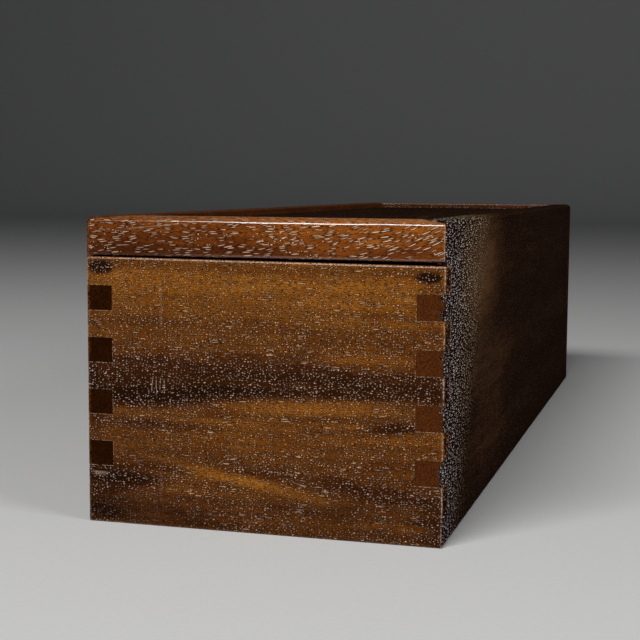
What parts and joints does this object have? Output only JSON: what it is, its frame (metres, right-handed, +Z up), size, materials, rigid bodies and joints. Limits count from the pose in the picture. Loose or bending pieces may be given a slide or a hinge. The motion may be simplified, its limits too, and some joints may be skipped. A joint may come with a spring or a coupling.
{
  "type": "shogi piece box",
  "caption": "Long wooden box with finger-jointed corners and a recessed lid that slides out over the lowered front end.",
  "frame": {"origin": "under the middle of the closed box, on the plane that it stands on", "axes": "+X to the right seen from the front, +Y along the box to its rear end, +Z up; the front end and the lid's rail face -Y"},
  "size_m": [0.08, 0.262, 0.068],
  "materials": {
    "front_board": "semi-gloss lacquer over open pores",
    "side_board": "semi-gloss lacquer over open pores",
    "floor_board": "satin",
    "lid_board": "semi-gloss lacquer over open pores",
    "lid_rail_board": "semi-gloss lacquer over open pores"
  },
  "bodies": {
    "box": {"front_end": "front_board", "rear_end": "side_board", "left_side": "side_board", "right_side": "side_board", "floor_panel": "floor_board"},
    "lid": {"lid_panel": "lid_board", "lid_rail": "lid_rail_board"}
  },
  "joints": [
    {"name": "lid_slide", "type": "slide", "parent": "box", "child": "lid", "axis": [0, -1, 0], "range_m": [0, 0.264]}
  ]
}
